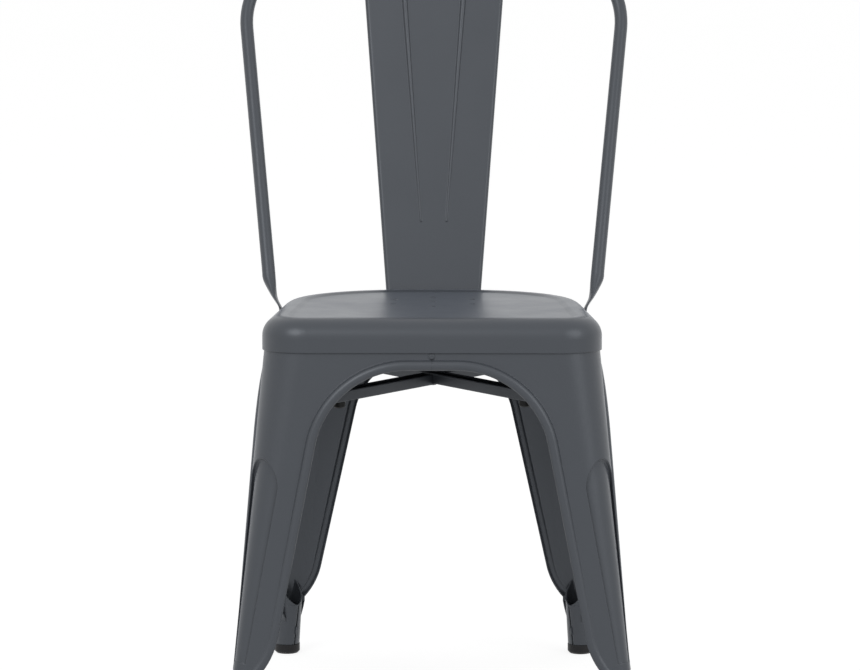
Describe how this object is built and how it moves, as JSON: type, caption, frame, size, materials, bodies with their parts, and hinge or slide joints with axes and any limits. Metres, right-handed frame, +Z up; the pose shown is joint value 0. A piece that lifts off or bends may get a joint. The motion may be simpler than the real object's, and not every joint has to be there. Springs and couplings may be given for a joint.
{
  "type": "metal bistro chair",
  "caption": "Pressed-steel stacking side chair with a dished seat, a bent-tube back with a flat centre splat, and splayed sheet legs on plastic glides.",
  "frame": {"origin": "on the floor under the middle of the chair's overall outline", "axes": "+Z up, the chair faces -Y, +X to the right of a person who looks along +Y"},
  "size_m": [0.4504, 0.504, 0.842],
  "materials": {
    "painted_sheet": "satin dark grey-blue powder coat",
    "painted_weld": "powder coat over weld metal",
    "rivet_steel": "satin powder coat",
    "glide_plastic": "matt black moulded",
    "bumper_rubber": "matt black moulded"
  },
  "bodies": {
    "root": {"seat_pan": "painted_sheet", "back_hoop": "painted_sheet", "back_splat": "painted_sheet", "front_left_leg": "painted_sheet", "front_right_leg": "painted_sheet", "rear_left_leg": "painted_sheet", "rear_right_leg": "painted_sheet", "cross_brace_lower": "painted_sheet", "cross_brace_upper": "painted_sheet", "apron_seam_welds": "painted_weld", "foot_seam_tacks": "painted_weld", "hoop_end_welds": "painted_weld", "splat_welds": "painted_weld", "brace_rivet": "rivet_steel", "front_left_glide": "glide_plastic", "front_right_glide": "glide_plastic", "rear_left_glide": "glide_plastic", "rear_right_glide": "glide_plastic", "front_left_bumper": "bumper_rubber", "front_right_bumper": "bumper_rubber", "rear_left_bumper": "bumper_rubber", "rear_right_bumper": "bumper_rubber"}
  },
  "joints": []
}
